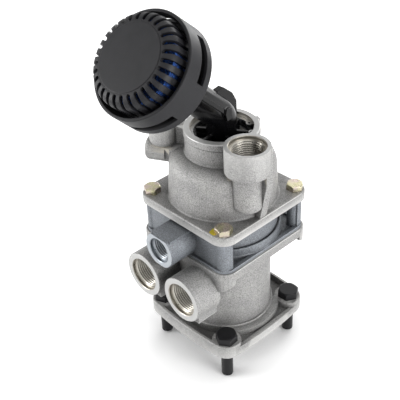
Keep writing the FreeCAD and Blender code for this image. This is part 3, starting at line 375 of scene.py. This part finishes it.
GUIDE_PLASTIC = plastic_material("guide_plastic", (0.02, 0.02, 0.02), 0.45, specular=0.40,
                                 grain=1500.0, depth=0.00004, edge=0.0003)
FOAM = foam_material("blue_foam", (0.006, 0.045, 0.20))

NODE_MATERIALS = {
    "mounting_housing": CAST_LOW, "middle_housing": CAST_MIDDLE, "cover_housing": CAST,
    "cover_bolts": ZINC, "mounting_bolts": BLACK_OXIDE, "plunger": STEEL,
    "plunger_guide": GUIDE_PLASTIC, "plunger_bush": BRONZE, "guide_circlip": SPRING,
    "dust_boot": RUBBER, "rubber_spring": RUBBER, "graduating_piston": PISTON,
    "graduating_piston_ring": RUBBER, "piston_return_spring": SPRING,
    "primary_valve_stem": STEEL, "primary_valve_disc": RUBBER, "primary_valve_spring": SPRING,
    "primary_valve_guide": PISTON, "primary_stem_ring": RUBBER, "lower_joint_ring": RUBBER,
    "relay_piston": PISTON, "relay_piston_ring": RUBBER, "relay_stem_ring": RUBBER,
    "relay_return_spring": SPRING, "upper_joint_ring": RUBBER, "secondary_valve_stem": STEEL,
    "secondary_valve_disc": RUBBER, "secondary_valve_spring": SPRING,
    "secondary_valve_guide": PISTON, "secondary_stem_ring": RUBBER, "collar_circlip": SPRING,
    "exhaust_elbow": GLOSS_BLACK, "elbow_ring": RUBBER, "silencer_shroud": CHARCOAL,
    "silencer_grille": CHARCOAL, "silencer_filter": FOAM,
}


def paint_nodes():
    for name, material in NODE_MATERIALS.items():
        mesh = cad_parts[name].data
        mesh.materials.clear()
        mesh.materials.append(material)
        for polygon in mesh.polygons:
            polygon.material_index = 0


# Machined zones of the castings, in mm. Round a port: how far its walls reach past the tapped
# radius and below the thread, how far under the face they start, and the face's thickness and
# radius. Round the collar: heights and radius of its walls inside and of its face on top
PORT_WALL_WIDER, PORT_WALL_DEEPER, PORT_WALL_START = 1.7, 6, -0.02
PORT_FACE_THICKNESS, PORT_FACE_R = 0.06, 18
COLLAR_WALL_HEIGHTS, COLLAR_WALL_R = (134, 147.4), 22
COLLAR_FACE_HEIGHTS, COLLAR_FACE_R = (147.2, 148.2), 25


def port_zone(centre):
    """'face' on a port's machined face, 'bore' on its walls inside, or None."""
    for mouth, out, tap_r, depth in PORTS.values():
        offset = centre / MM - Vector(mouth)
        along = offset.dot(Vector(out))
        across = (offset - along * Vector(out)).length
        lowest = -depth - PORT_WALL_DEEPER
        if across < tap_r + PORT_WALL_WIDER and lowest < along < PORT_WALL_START:
            return "bore"
        if abs(along) < PORT_FACE_THICKNESS and across < PORT_FACE_R:
            return "face"
    return None


def collar_zone(centre):
    """'face' on the collar's machined rim, 'bore' on its walls inside, or None."""
    radius = math.hypot(centre.x, centre.y) / MM
    height = centre.z / MM
    low, high = COLLAR_WALL_HEIGHTS
    if radius < COLLAR_WALL_R and low < height < high:
        return "bore"
    low, high = COLLAR_FACE_HEIGHTS
    if low < height < high and radius < COLLAR_FACE_R:
        return "face"
    return None


def paint_zones(name, face_material, bore_material):
    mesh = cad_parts[name].data
    mesh.materials.append(face_material)
    mesh.materials.append(bore_material)
    for polygon in mesh.polygons:
        centre = polygon.center
        zone = port_zone(centre)
        if zone is None and name == "cover_housing":
            zone = collar_zone(centre)
        if zone is not None:
            polygon.material_index = 1 if zone == "face" else 2


# ---- soft pieces and springs

# Node: piece name, body, joint, height in mm of the end that stays, share of the length kept, slot
SQUASHED = {
    "piston_return_spring": ("piston_spring_coil", "housing", "graduating_piston_slide", 51.95,
                             0.765, "spring_steel"),
    "primary_valve_spring": ("primary_spring_coil", "housing", "primary_valve_slide", 67.45,
                             0.685, "spring_steel"),
    "relay_return_spring": ("relay_spring_coil", "housing", "relay_piston_slide", 117.95, 0.875,
                            "spring_steel"),
    "secondary_valve_spring": ("secondary_spring_coil", "housing", "secondary_valve_slide", 132.45,
                               0.625, "spring_steel"),
    "rubber_spring": ("rubber_spring_body", "graduating_piston", "plunger_slide", 28.45, 0.578,
                      "black_rubber"),
    "dust_boot": ("dust_boot_bellows", "housing", "plunger_slide", 2.5, 0.401, "black_rubber"),
}


def copied_piece(node_name, name, body):
    """A copy of a CAD node that stands for it, attached to a body, with the node hidden."""
    made = bpy.data.objects.new(name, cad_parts[node_name].data.copy())
    bpy.context.scene.collection.objects.link(made)
    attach(made, body)
    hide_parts(node_name)
    return made


def add_soft_pieces():
    for node_name, (name, body, joint, anchor, keep, slot) in SQUASHED.items():
        made = copied_piece(node_name, name, body)
        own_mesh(made)
    foam = copied_piece("silencer_filter", "silencer_foam", "silencer")


# ---- threads of the ports

def ridge_share(below, turn):
    """Height of the thread at a depth and a share of a turn: 0 at its root, 1 at its crest."""
    phase = (below / THREAD_PITCH - turn) % 1.0
    ridge = max(0.0, 1 - abs(2 * phase - 1) * RIDGE_STEEPENING)
    return min(ridge * RIDGE_STEEPENING, 1.0)


def thread_piece(name, mouth, out, tap_r, depth, material):
    """Inside thread of a port: a skin whose radius follows a helix."""
    start = PORT_RECESS + THREAD_START
    rows = round((depth - start - THREAD_FADE) / THREAD_STEP)
    verts = []
    for i in range(rows + 1):
        below = start + i * THREAD_STEP
        fade = min(1.0, i * THREAD_STEP / THREAD_FADE, (rows - i) * THREAD_STEP / THREAD_FADE)
        for k in range(THREAD_SEGMENTS):
            turn = k / THREAD_SEGMENTS
            r = tap_r - THREAD_SKIN - THREAD_HEIGHT * ridge_share(below, turn) * fade
            verts.append((r * math.cos(2 * math.pi * turn), r * math.sin(2 * math.pi * turn),
                          -below))
    faces = []
    for i in range(rows):
        for k in range(THREAD_SEGMENTS):
            a = i * THREAD_SEGMENTS + k
            b = i * THREAD_SEGMENTS + (k + 1) % THREAD_SEGMENTS
            faces.append((a, b, b + THREAD_SEGMENTS, a + THREAD_SEGMENTS))
    mesh = bpy.data.meshes.new(name)
    mesh.from_pydata([Vector(v) * MM for v in verts], [], faces)
    turn_to = Vector((0, 0, 1)).rotation_difference(Vector(out)).to_matrix().to_4x4()
    mesh.transform(Matrix.Translation(Vector(mouth) * MM) @ turn_to)
    mesh.materials.append(material)
    mesh.polygons.foreach_set("use_smooth", [True] * len(mesh.polygons))
    made = bpy.data.objects.new(name, mesh)
    bpy.context.scene.collection.objects.link(made)
    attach(made, "housing")
    return made


def add_threads():
    for name, (mouth, out, tap_r, depth) in PORTS.items():
        middle = name == "middle"
        piece = thread_piece(name + "_port_thread", mouth, out, tap_r, depth,
                             THREAD_MIDDLE if middle else THREAD)


# ---- studio

WORLD_FILL = 0.16

# White floor: half its side and the reach of the contact shadow in m, and the glow that lifts it
# to white for direct rays, from none beside the part to FLOOR_GLOW where it is open
FLOOR_HALF_SIDE = 4.0
FLOOR_WHITE = 0.90
FLOOR_SHADOW_REACH = 0.09
FLOOR_SHADOW_RANGE = 0.30, 1.0
FLOOR_GLOW = 0.62

# Panel lights: place and size in m, and power in W. They are all aimed at one point
PANEL_AIM = (0, 0, 0.09)
PANELS = {
    "left_panel": ((-0.75, -0.85, 0.28), (0.6, 0.8), 13.0),
    "right_panel": ((1.05, 0.05, 0.28), (0.6, 0.8), 13.0),
    "back_panel": ((-0.35, 1.15, 0.45), (0.8, 0.8), 6.0),
    "top_panel": ((0.1, 0.1, 1.3), (1.2, 1.2), 4.0),
}

# Camera solved from the photograph: lens and sensor in mm, angles in degrees, and the point that
# it looks at and its distance from it in mm
CAMERA_LENS = 71.24
CAMERA_SENSOR = 36.0
CAMERA_ANGLES = (47.83, 34.79, -2.75)
CAMERA_TARGET = (-10.36, -11.44, 93.07)
CAMERA_DISTANCE = 516.2


def seen_directly(tree):
    """1 for camera, glossy and transmission rays."""
    path = tree.nodes.new("ShaderNodeLightPath")
    total = path.outputs["Is Camera Ray"]
    for name in ("Is Glossy Ray", "Is Transmission Ray"):
        most = tree.nodes.new("ShaderNodeMath")
        most.operation = "MAXIMUM"
        tree.links.new(total, most.inputs[0])
        tree.links.new(path.outputs[name], most.inputs[1])
        total = most.outputs[0]
    return total


def show_by_ray(tree, output, indirect, direct):
    """One shader for indirect rays and another for direct ones."""
    mix = tree.nodes.new("ShaderNodeMixShader")
    tree.links.new(seen_directly(tree), mix.inputs["Fac"])
    tree.links.new(indirect.outputs[0], mix.inputs[1])
    tree.links.new(direct.outputs[0], mix.inputs[2])
    tree.links.new(mix.outputs[0], output.inputs["Surface"])


def add_floor():
    mesh = bpy.data.meshes.new("floor")
    s = FLOOR_HALF_SIDE
    mesh.from_pydata([(-s, -s, FLOOR_Z), (s, -s, FLOOR_Z), (s, s, FLOOR_Z), (-s, s, FLOOR_Z)], [],
                     [(0, 1, 2, 3)])
    floor = bpy.data.objects.new("floor", mesh)
    bpy.context.scene.collection.objects.link(floor)
    material = bpy.data.materials.new("floor_white")
    material.use_nodes = True
    tree = material.node_tree
    tree.nodes.clear()
    output = tree.nodes.new("ShaderNodeOutputMaterial")
    white = (FLOOR_WHITE, FLOOR_WHITE, FLOOR_WHITE, 1)
    diffuse = node(tree, "ShaderNodeBsdfDiffuse", Color=white)
    glow = node(tree, "ShaderNodeEmission", Color=(1, 1, 1, 1))
    near = tree.nodes.new("ShaderNodeAmbientOcclusion")
    near.samples = 8
    near.inputs["Distance"].default_value = FLOOR_SHADOW_REACH
    strength = spread(tree, near.outputs["AO"], *FLOOR_SHADOW_RANGE, 0.0, FLOOR_GLOW)
    tree.links.new(strength, glow.inputs["Strength"])
    both = tree.nodes.new("ShaderNodeAddShader")
    tree.links.new(diffuse.outputs[0], both.inputs[0])
    tree.links.new(glow.outputs[0], both.inputs[1])
    show_by_ray(tree, output, diffuse, both)
    mesh.materials.append(material)


def add_world():
    world = bpy.data.worlds.new("studio")
    bpy.context.scene.world = world
    world.use_nodes = True
    tree = world.node_tree
    tree.nodes.clear()
    output = tree.nodes.new("ShaderNodeOutputWorld")
    fill = node(tree, "ShaderNodeBackground", Color=(1, 1, 1, 1), Strength=WORLD_FILL)
    white = node(tree, "ShaderNodeBackground", Color=(1, 1, 1, 1), Strength=1.0)
    show_by_ray(tree, output, fill, white)


def add_lights():
    for name, (place, size, watts) in PANELS.items():
        light = bpy.data.lights.new(name, "AREA")
        light.shape = "RECTANGLE"
        light.size, light.size_y = size
        light.energy = watts
        made = bpy.data.objects.new(name, light)
        made.location = place
        beam = Vector(PANEL_AIM) - Vector(place)
        made.rotation_euler = beam.to_track_quat("-Z", "Y").to_euler()
        bpy.context.scene.collection.objects.link(made)


def add_camera():
    camera = bpy.data.cameras.new("camera")
    camera.lens = CAMERA_LENS
    camera.sensor_width = CAMERA_SENSOR
    made = bpy.data.objects.new("camera", camera)
    azimuth, elevation, roll = (math.radians(a) for a in CAMERA_ANGLES)
    back = Vector((math.sin(azimuth) * math.cos(elevation),
                   -math.cos(azimuth) * math.cos(elevation), math.sin(elevation)))
    level = Vector((math.cos(azimuth), math.sin(azimuth), 0))
    upright = back.cross(level)
    right = level * math.cos(roll) + upright * math.sin(roll)
    up = upright * math.cos(roll) - level * math.sin(roll)
    place = Vector(CAMERA_TARGET) * MM + back * CAMERA_DISTANCE * MM
    made.matrix_world = Matrix.Translation(place) @ Matrix((right, up, back)).transposed().to_4x4()
    bpy.context.scene.collection.objects.link(made)
    bpy.context.scene.camera = made


paint_nodes()
paint_zones("mounting_housing", MACHINED, BORE)
paint_zones("middle_housing", MACHINED_MIDDLE, BORE_MIDDLE)
paint_zones("cover_housing", MACHINED, BORE)
add_soft_pieces()
add_threads()
add_floor()
add_world()
add_lights()
add_camera()
bpy.context.scene.view_settings.view_transform = "Standard"
